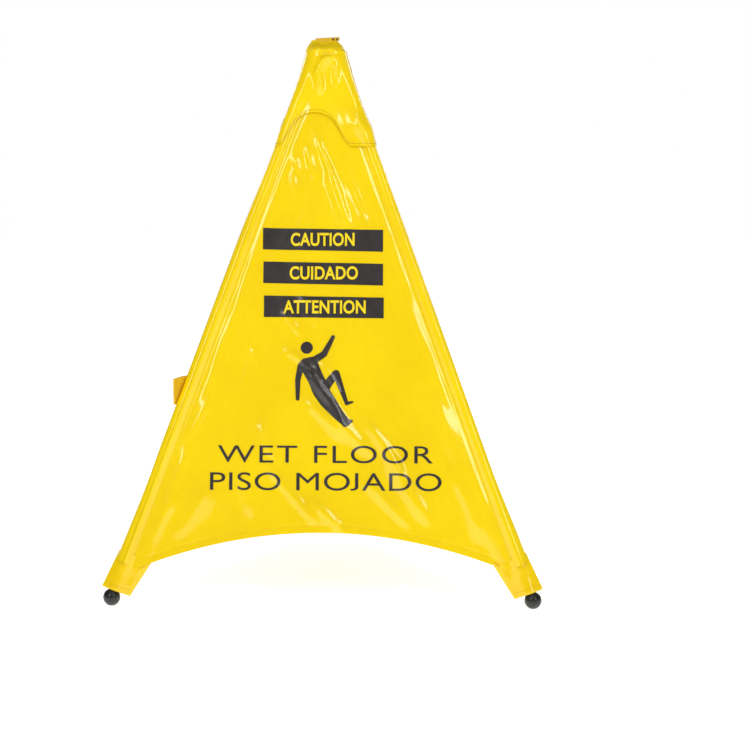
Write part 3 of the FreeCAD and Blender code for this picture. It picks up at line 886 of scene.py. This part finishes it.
CROWN_COLUMNS = 96
CROWN_ROWS = 26


def crown_shape(share_round, share_down):
    """The yoke's top section, gathered and drawn in to a flat oval."""
    share_up = 1 - share_down
    turn = math.radians(360 * share_round)
    centre, radius = smooth_section(YOKE_TOP)
    leg = min(LEGS.values(), key=lambda a: abs((a - 360 * share_round + 180) % 360 - 180))
    off = math.radians((360 * share_round - leg + 180) % 360 - 180)
    if abs(off) < math.atan2(radius * math.sin(HALF_SECTOR), centre + radius * 0.5):
        out = centre * math.cos(off) + math.sqrt(max(radius ** 2 - (centre * math.sin(off)) ** 2, 0))
    else:
        out = (centre * 0.5 + radius) / math.cos(HALF_SECTOR - abs(off))
    rise = 16.5 * share_up
    flat = ease(share_up, 0.05, 0.95)
    length = 24.2 - 3.4 * share_up ** 2
    depth = 14.0 * (1 - share_up) + 1.6
    cosine, sine = math.cos(turn), math.sin(turn)
    oval_x = length * math.copysign(abs(cosine) ** 0.75, cosine)
    oval_y = depth * math.copysign(abs(sine) ** 0.9, sine)
    gather = math.sin(share_up * math.pi) * (0.9 * math.sin(turn * 9 + 0.7) + 0.6 * math.sin(turn * 17 + 2.0))
    x = (out * cosine) * (1 - flat) + oval_x * flat
    y = (out * sine) * (1 - flat) + oval_y * flat
    away = math.hypot(x, y) or 1
    x, y = x * (1 + gather / away), y * (1 + gather / away)
    x -= max(cosine, 0) * (3.2 * ease(share_up, 0, 0.25) + 2.2 * share_up)
    place = Vector((x, y, 740.6 + rise + 0.8 * math.sin(x * 0.3) * share_up ** 2)) * MM + hub_axis
    return place, (share_round * 150 * MM, rise * MM)


crown_mesh = shaped_grid("crown", CROWN_COLUMNS, CROWN_ROWS, crown_shape)
weld(crown_mesh)
face_outward(crown_mesh)
crown = finish_piece("crown", crown_mesh, yellow_cloth)
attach(crown, "hub_and_cover")
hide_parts("top_fold")

# Yellow deepened to orange as painted shade, for the strap's shadow beside the left leg; the tab uses it too.
webbing = Finish("yellow_webbing_painted_shade", (0.9, 0.56, 0.01), 0.62)
weave_place = webbing.cut()
ribs, cross_ribs = woven(webbing, weave_place, 260.0, 150.0)
worn = webbing.speckle(weave_place, 60, 4)
webbing.feed("Base Color", webbing.shade(worn * 0.7 + ribs * 0.3, (0.74, 0.42, 0.005), (0.98, 0.64, 0.01)))
webbing.feed("Roughness", worn * 0.2 + 0.5)
webbing.bump(ribs + cross_ribs * 0.6, 0.0003, 0.7)

tab_low, tab_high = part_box("pull_tab")


def tab_shape(share_along, share_over):
    """Webbing folded over lengthwise, and pressed flat where it goes into the crown."""
    x = tab_low.x + (tab_high.x - tab_low.x) * share_along
    turn = math.pi * share_over
    near = ease(share_along, 0.55, 1.0)
    half = (tab_high.y - tab_low.y) / 2 - 0.0006
    y = -math.cos(turn) * half * (1 - 0.45 * near)
    top = tab_high.z - 0.0006 - 0.0018 * (1 - share_along)
    drop = (tab_high.z - tab_low.z - 0.001) * (1 - 0.5 * near)
    z = top - drop * (1 - math.sin(turn)) ** 0.6 - (0.0016 * near if share_over < 0.5 else 0)
    return Vector((x, y + hub_y, z)), (x, share_over * 0.018)


tab_mesh = shaped_grid("folded_tab", 28, 16, tab_shape)
folded_tab = finish_piece("folded_tab", tab_mesh, webbing)
thick = folded_tab.modifiers.new("webbing_thickness", "SOLIDIFY")
thick.thickness = 0.0011
thick.offset = 0
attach(folded_tab, "hub_and_cover")
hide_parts("pull_tab")
refinish(["tab_rivets"], nylon)


# ---- Cuffs
# Each corner pocket ends in a wide cuff, sewn on across its top and turned up at its lower edge, that
# slides over the foot. The front two lie flat in the front panel's plane. A bar tack holds each corner.

CUFF_TOP_AT = 714.0
CUFF_END_AT = 767.6
CUFF_ROUND = 56
CUFF_ROWS = 30

front_normal = panel_out("front")
# The cuffs' cloth is the cover's, given deeper yellows as painted shade for the darker cuffs low on the legs.
shaded_cuff_yellow = coated_cloth("coated_cuff_cloth_painted_shade", (0.9, 0.6, 0.0), (0.99, 0.7, 0.0))


def cuff_directions(leg):
    """Directions across the cuff, towards the front panel's middle, and out of its face."""
    down_leg = (leg_axis_point(leg, 1) - leg_axis_point(leg, 0)).normalized()
    if leg == "rear":
        face = radial(90) * math.cos(leg_tilt) + Vector((0, 0, math.sin(leg_tilt)))
        return Vector((1, 0, 0)), face
    across = down_leg.cross(front_normal)
    if across.x * radial(LEGS[leg]).x > 0:
        across.negate()
    return across, front_normal


def cuff_place(leg, along, turn, shrink=0.0):
    """Point of the cuff at an angle round it. Zero is its inner edge, and a quarter turn its face."""
    t = (along - 717.7) / 50
    shift, half = (10.5 - 8.0 * t, 23.5 - 3.2 * t) if leg != "rear" else (0, 22.0 - 2.0 * t)
    across, face = cuff_directions(leg)
    y = shift + (half - shrink) * math.cos(turn)
    depth = 3.4 + 4.4 * math.exp(-((y / 12) ** 2)) - shrink
    wave = noise.noise(Vector((y * 0.07, along * 0.045, LEGS[leg]))) * 1.0 * abs(math.sin(turn))
    lift = math.copysign(abs(math.sin(turn)) ** 0.75, math.sin(turn)) * (depth + wave)
    place = leg_axis_point(leg, along) + across * y + face * lift
    return place * MM + hub_axis


cuffs = {}
for leg in LEGS:

    def cuff_shape(share_round, share_down, leg=leg):
        turn = 2 * math.pi * share_round
        if share_down < 0.7:
            along, shrink = CUFF_TOP_AT + (CUFF_END_AT - CUFF_TOP_AT) * share_down / 0.7, 0.0
        elif share_down < 0.78:
            along, shrink = CUFF_END_AT, 1.1 * (share_down - 0.7) / 0.08
        else:
            along, shrink = CUFF_END_AT - 9 * (share_down - 0.78) / 0.22, 1.1
        groove = 0.35 * math.exp(-(((CUFF_END_AT - along - 7) / 1.2) ** 2)) if share_down < 0.7 else 0
        return cuff_place(leg, along, turn, shrink + groove), (share_round * 92 * MM, (along + shrink) * MM)

    mesh = shaped_grid(f"cuff_{leg}", CUFF_ROUND, CUFF_ROWS, cuff_shape)
    weld(mesh)
    outward = bmesh.new()
    outward.from_mesh(mesh)
    bmesh.ops.recalc_face_normals(outward, faces=outward.faces)
    outward.to_mesh(mesh)
    outward.free()
    cuffs[leg] = finish_piece(f"cuff_{leg}", mesh, shaded_cuff_yellow)
    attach(cuffs[leg], f"leg_{leg}")
    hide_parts(f"leg_cuff_{leg}")


# ---- Closing strap
# Yellow webbing sewn to the left panel. Its free end stands past the corner, ready to wrap the folded
# sign, and closes with a hook pad and a loop pad. It is two pieces, one each side of where the cloth folds.

STRAP_DOWN = (PIVOT_Z - 283.0) / math.cos(panel_tilt)
STRAP_HALF = 19.5
STRAP_FREE = 30.0
STRAP_ON = 150.0


def strap_place(across, down, over):
    """Place of a point of the strap. It lies on the left panel, and bends away past the corner."""
    inward, _ = from_leg(across, down)
    beyond = max(-inward, 0)
    sewn = cloth_lift("left", min(across, half_top + down * tan_s), down) + 0.9
    flat = 8.6 - 0.0028 * beyond ** 2 + 0.4 * math.sin(beyond * 0.25 + (down - STRAP_DOWN) * 0.12)
    rise = flat + (sewn - flat) * ease(inward, 24, 60)
    return panel_point(PANELS["left"][0], across, down, rise + over)


def strap_part(start, end, half=STRAP_HALF, over=0.0):
    """Shape of a length of the strap. Start and end are distances in from the leg, or None at the fold."""

    def shape(share_along, share_down):
        down = STRAP_DOWN + half * (2 * share_down - 1)
        fixed = half_top + STRAP_DOWN * tan_s
        fold = half_top + down * tan_s - strip_width / cos_s
        a = fold if start is None else fixed - start - (13 * share_down if start == -STRAP_FREE else 0)
        b = fold if end is None else fixed - end
        across = a + (b - a) * share_along
        return strap_place(across, down, over), (across * MM, down * MM)

    return shape


def strap_piece(name, start, end, finish, half=STRAP_HALF, over=0.0, thickness=1.4, columns=30, rows=16):
    mesh = shaped_grid(name, columns, rows, strap_part(start, end, half, over))
    face_outward(mesh)
    piece = finish_piece(name, mesh, finish)
    solid = piece.modifiers.new("thickness", "SOLIDIFY")
    solid.thickness = thickness * MM
    solid.offset = 1
    return piece


def applied(piece):
    """Applies a piece's modifiers."""
    shown = piece.evaluated_get(bpy.context.evaluated_depsgraph_get())
    mesh = bpy.data.meshes.new_from_object(shown)
    piece.modifiers.clear()
    piece.data = mesh
    return piece


pile = Finish("fastener_pile", (0.72, 0.45, 0.01), 0.9)
fuzz = pile.speckle(pile.place(), 1600, 3, 0.7)
pile.feed("Base Color", pile.shade(fuzz, (0.5, 0.3, 0.0), (0.9, 0.6, 0.02)))
pile.bump(fuzz, 0.0006, 1.0)

strap_end = applied(strap_piece("strap_free_end", -STRAP_FREE, None, webbing))
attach(strap_end, "leg_left")
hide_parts("closing_strap")
strap_run = applied(strap_piece("strap_sewn_run", None, STRAP_ON, webbing, columns=56))
folds_with(strap_run, "left", "left", 1)
hook_pad = applied(strap_piece("hook_pad", -13, 7, pile, half=15.5, over=1.4, thickness=0.9))
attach(hook_pad, "leg_left")
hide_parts("strap_hook_pad")
loop_pad = applied(strap_piece("loop_pad", 126, 146, pile, half=15.5, over=1.4, thickness=0.9))
folds_with(loop_pad, "left", "left", 1)
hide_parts("strap_loop_pad")


# ---- Printing
# Screen-printed ink on each panel: three bars with reversed words, a falling figure, and two lines of
# wide letters. Each print is made flat, cut small, and laid on the cloth, half on each half of a panel.

ink = Finish("black_ink", (0.035, 0.03, 0.03), 0.3, Coat_Weight=0.4, Coat_Roughness=0.18)
ink_film = ink.speckle(ink.cut(), 60, 4)
ink.feed("Base Color", ink.shade(ink_film, (0.028, 0.024, 0.024), (0.05, 0.043, 0.042)))
ink.feed("Roughness", ink_film * 0.16 + 0.24)
yellow_ink = Finish("yellow_ink", (0.98, 0.74, 0.0), 0.35, Coat_Weight=0.3, Coat_Roughness=0.18)
yellow_film = yellow_ink.speckle(yellow_ink.cut(), 60, 4)
yellow_ink.feed("Base Color", yellow_ink.shade(yellow_film, (0.92, 0.66, 0.0), (1.0, 0.76, 0.01)))


def cut_small(flat, pitch=3.0):
    """Cuts a flat mesh along a square grid, so that it can follow the cloth."""
    xs = [vert.co.x for vert in flat.verts]
    ys = [vert.co.y for vert in flat.verts]
    for low, high, normal in ((min(xs), max(xs), (1, 0, 0)), (min(ys), max(ys), (0, 1, 0))):
        at = math.ceil(low / pitch) * pitch
        while at < high:
            point = Vector(normal) * at
            everything = flat.verts[:] + flat.edges[:] + flat.faces[:]
            bmesh.ops.bisect_plane(flat, geom=everything, dist=1e-5, plane_co=point, plane_no=normal)
            at += pitch


def lay_print(name, flat, finish, over):
    """Lays a flat mesh, in mm across and up each panel, on the two halves of every panel."""
    bmesh.ops.triangulate(flat, faces=flat.faces)
    cut_small(flat)
    bmesh.ops.triangulate(flat, faces=flat.faces)
    for face in flat.faces:
        if face.normal.z < 0:
            face.normal_flip()
    for panel, leg, side in half_panels():
        half = flat.copy()
        everything = half.verts[:] + half.edges[:] + half.faces[:]
        bmesh.ops.bisect_plane(half, geom=everything, dist=1e-5, plane_co=(0, 0, 0),
                               plane_no=(side, 0, 0), clear_inner=True)
        layer = half.loops.layers.uv.new("cloth")
        for face in half.faces:
            for loop in face.loops:
                loop[layer].uv = (loop.vert.co.x * MM, -loop.vert.co.y * MM)
        for vert in half.verts:
            vert.co = cloth_point(panel, vert.co.x, -vert.co.y, over + vert.co.z)
        mesh = bpy.data.meshes.new(f"{name}_{panel}_{leg}")
        half.to_mesh(mesh)
        half.free()
        piece = finish_piece(mesh.name, mesh, finish)
        folds_with(piece, leg, panel, side)
    flat.free()


def letters(words, centre, top, bottom, width, weight, spacing):
    """Flat mesh of a line of letters, stretched to fill a box."""
    line = bpy.data.curves.new(words.replace(" ", "_"), "FONT")
    line.body = words
    line.offset = weight
    line.space_character = spacing
    line.resolution_u = 6
    written = bpy.data.objects.new(line.name, line)
    bpy.context.scene.collection.objects.link(written)
    mesh = bpy.data.meshes.new_from_object(written)
    flat = bmesh.new()
    flat.from_mesh(mesh)
    bpy.data.objects.remove(written)
    bpy.data.curves.remove(line)
    bpy.data.meshes.remove(mesh)
    bmesh.ops.remove_doubles(flat, verts=flat.verts, dist=1e-5)
    left = set(flat.verts)
    while left:  # a letter whose tail hangs below the line is shortened to stand on it
        letter, edge = set(), {left.pop()}
        while edge:
            vert = edge.pop()
            letter.add(vert)
            edge |= {e.other_vert(vert) for e in vert.link_edges} - letter
        left -= letter
        low, high = min(v.co.y for v in letter), max(v.co.y for v in letter)
        if low < -0.05:
            for vert in letter:
                vert.co.y = (vert.co.y - low) / (high - low) * high
    xs = [vert.co.x for vert in flat.verts]
    ys = [vert.co.y for vert in flat.verts]
    wide, tall = max(xs) - min(xs), max(ys) - min(ys)
    for vert in flat.verts:
        vert.co.x = centre + ((vert.co.x - min(xs)) / wide - 0.5) * width
        vert.co.y = -bottom + (vert.co.y - min(ys)) / tall * (bottom - top)
        vert.co.z = 0
    return flat


def letter_lines(lines):
    """One flat mesh of several lines of letters, each with the arguments of letters()."""
    page = bmesh.new()
    for line in lines:
        flat = letters(*line)
        holder = bpy.data.meshes.new("line")
        flat.to_mesh(holder)
        flat.free()
        page.from_mesh(holder)
        bpy.data.meshes.remove(holder)
    return page


# Bars: across from, across to, and the height of each end's top and bottom edge.
BARS = [
    (-83.6, 80.0, 229.8, 259.2, 232.6, 262.4),
    (-82.6, 80.2, 276.0, 305.4, 279.0, 308.6),
    (-81.3, 81.4, 322.6, 351.8, 325.2, 353.4),
]
bars = bmesh.new()
for left, right, top_left, low_left, top_right, low_right in BARS:
    corners = [bars.verts.new((x, -y, 0)) for x, y in
               ((left, low_left), (right, low_right), (right, top_right), (left, top_left))]
    bars.faces.new(corners)
lay_print("warning_bars", bars, ink, 0.5)

# Words: their middle across, their top and bottom down the panel, width, boldness and spacing.
lay_print("bar_words", letter_lines([
    ("CAUTION", -2.3, 236.4, 254.8, 87, 0.026, 1.03),
    ("CUIDADO", -0.3, 282.4, 300.8, 93, 0.026, 1.03),
    ("ATTENTION", 1.0, 328.8, 347.2, 112, 0.026, 1.03),
]), yellow_ink, 0.9)
lay_print("floor_words", letter_lines([
    ("WET FLOOR", 3.7, 526.0, 549.5, 290, -0.003, 1.1),
    ("PISO MOJADO", 4.5, 562.5, 586.5, 312, -0.003, 1.04),
]), ink, 0.5)

# The figure: an outline of the body and one leg, then limbs as strokes with a half width at each end.
BODY = [
    (-34, 416), (-27, 408.5), (-14, 405.5), (-8, 412), (-2, 427), (5, 441), (10, 452), (17, 463), (27, 479.5),
    (35, 490), (41, 491.5), (40, 494), (33, 500.5), (29, 501), (25, 497), (12, 486), (-3, 471), (-13, 457),
    (-20, 440), (-27, 428), (-31, 423),
]
LIMBS = [
    ((3, 447), (17.5, 428.5), 6.2, 4.8), ((17.5, 428.5), (31.5, 467), 4.8, 2.6), ((32, 469), (40, 467), 2.4, 1.3),
    ((-13, 411), (1, 402), 5.0, 4.2), ((1, 402), (13, 379), 4.2, 2.6),
    ((-30.5, 419), (-34.3, 437), 4.4, 3.6), ((-34.3, 437), (-34.3, 463), 3.6, 2.4),
]
figure = bmesh.new()
figure.faces.new([figure.verts.new((x, -y, 0)) for x, y in BODY])
for rank, ((x0, y0), (x1, y1), r0, r1) in enumerate(LIMBS):
    lean = math.atan2(-(y1 - y0), x1 - x0)
    rim = []
    for x, y, r, first_turn in ((x0, y0, r0, 90), (x1, y1, r1, -90)):
        for step in range(9):
            turn = lean + math.radians(first_turn + 180 * step / 8)
            height = 0.03 * (rank + 1)
            rim.append(figure.verts.new((x + r * math.cos(turn), -y + r * math.sin(turn), height)))
    figure.faces.new(rim)
head = Matrix.Translation((-22.6, -393.6, 0))
bmesh.ops.create_circle(figure, cap_ends=True, segments=32, radius=8.2, matrix=head)
lay_print("falling_figure", figure, ink, 0.55)


# ---- Stitching
# Lockstitch in yellow thread beside each tube and along the hems and cuffs, and in olive thread along the
# yoke's edge, where the olive's dark colour is painted shadow for the shade line under that edge. An orange
# bar tack holds each cuff.


def sewing_thread(name, dark, light, roughness, scale):
    """Finish of a twisted thread."""
    finish = Finish(name, light, roughness)
    ply = finish.speckle(finish.place(), scale, 2)
    finish.feed("Base Color", finish.shade(ply, dark, light))
    finish.bump(ply, 0.0001, 0.5)
    return finish


tack_thread = sewing_thread("orange_thread", (0.7, 0.24, 0.005), (0.95, 0.42, 0.02), 0.7, 1500)
thread = sewing_thread("yellow_thread", (0.7, 0.42, 0.0), (0.95, 0.68, 0.01), 0.6, 1800)
# Real stitches, but their dark olive is painted shadow: it draws the shade line under the yoke's edge.
shadow_line_thread = Finish("olive_thread_painted_shadow", (0.3, 0.2, 0.01), 0.6)


def stitch_row(name, path, pitch=3.4, length=2.5, radius=0.28, finish=thread):
    """A row of stitches along a path of (place, outward) pairs."""
    row = bmesh.new()
    since = pitch
    for (a, normal), (b, _) in zip(path, path[1:]):
        run = (b - a).length
        if run < 1e-9:
            continue
        ahead = (b - a).normalized()
        at = pitch * MM - since if since < pitch * MM else 0.0
        while at <= run:
            centre = a + ahead * at
            side = ahead.cross(normal).normalized()
            up = side.cross(ahead)
            turn = Matrix((ahead, side, up)).transposed().to_4x4()
            size = Matrix.Diagonal((length / 2 * MM, radius * MM * 1.2, radius * MM, 1))
            placed = Matrix.Translation(centre) @ turn @ size
            bmesh.ops.create_icosphere(row, subdivisions=1, radius=1.0, matrix=placed)
            at += pitch * MM
        since = run - (at - pitch * MM)
    mesh = bpy.data.meshes.new(name)
    row.to_mesh(mesh)
    row.free()
    piece = finish_piece(name, mesh, finish)
    return piece


HEM_DEPTH = 9.0
YOKE_HEM = 3.5
for panel, leg, side in half_panels():
    out = panel_out(panel)
    crease = []
    for step in range(141):
        across, down = leg_side(128 + (CUFF_TOP_AT - 128) * step / 140, POCKET_SEAM)
        crease.append((cloth_point(panel, side * across, down, 0.12), out))
    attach(stitch_row(f"seam_stitches_{panel}_{leg}", crease), f"leg_{leg}")
    hem = []
    for step in range(61):
        across, down = half_panel_place(panel, step / 60, 1.0)
        hem.append((cloth_point(panel, side * across, down - HEM_DEPTH, 0.15), out))
    folds_with(stitch_row(f"hem_stitches_{panel}_{leg}", hem), leg, panel, side)

for leg, azimuth in LEGS.items():
    corner_row = []
    for step in range(-40, 41):
        side = 1 if step > 0 else -1
        place, _ = yoke_place(azimuth, side, corner_column(step / 40), 1.0, raised=YOKE_HEM)
        out = (place - Vector((hub_x, hub_y, place.z))).normalized()
        corner_row.append((place + out * 0.00015, out))
    corner_stitches = stitch_row(f"yoke_corner_stitches_{leg}", corner_row, radius=0.36, finish=shadow_line_thread)
    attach(corner_stitches, f"leg_{leg}")
    for side in (-1, 1):
        panel = nearest_panel(azimuth + side * 60)
        half_row = []
        for step in range(41):
            place, _ = yoke_place(azimuth, side, half_column(step / 40), 1.0, raised=YOKE_HEM)
            half_row.append((place + panel_out(panel) * 0.00015, panel_out(panel)))
        stitches = stitch_row(f"yoke_stitches_{panel}_{leg}", half_row, radius=0.36, finish=shadow_line_thread)
        folds_with(stitches, leg, panel, -side)

for leg in LEGS:
    rows = []
    for along in (CUFF_TOP_AT + 3, CUFF_END_AT - 7):
        ring = []
        for step in range(97):
            turn = 2 * math.pi * step / 96
            place = cuff_place(leg, along, turn, -0.1)
            middle = leg_axis_point(leg, along) * MM + hub_axis
            ring.append((place, (place - middle).normalized()))
        rows.append(ring)
    for label, ring in zip(("top", "hem"), rows):
        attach(stitch_row(f"cuff_{label}_stitches_{leg}", ring, pitch=3.0, length=2.2), f"leg_{leg}")
    tack = []
    for step in range(12):
        turn = 0.62 + 0.012 * step
        place = cuff_place(leg, CUFF_TOP_AT + 1.2 + 0.35 * step, turn, -0.35)
        tack.append((place, front_normal if leg != "rear" else cuff_directions(leg)[1]))
    bar_tack = stitch_row(f"bar_tack_{leg}", tack, pitch=0.5, length=3.2, radius=0.5, finish=tack_thread)
    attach(bar_tack, f"leg_{leg}")
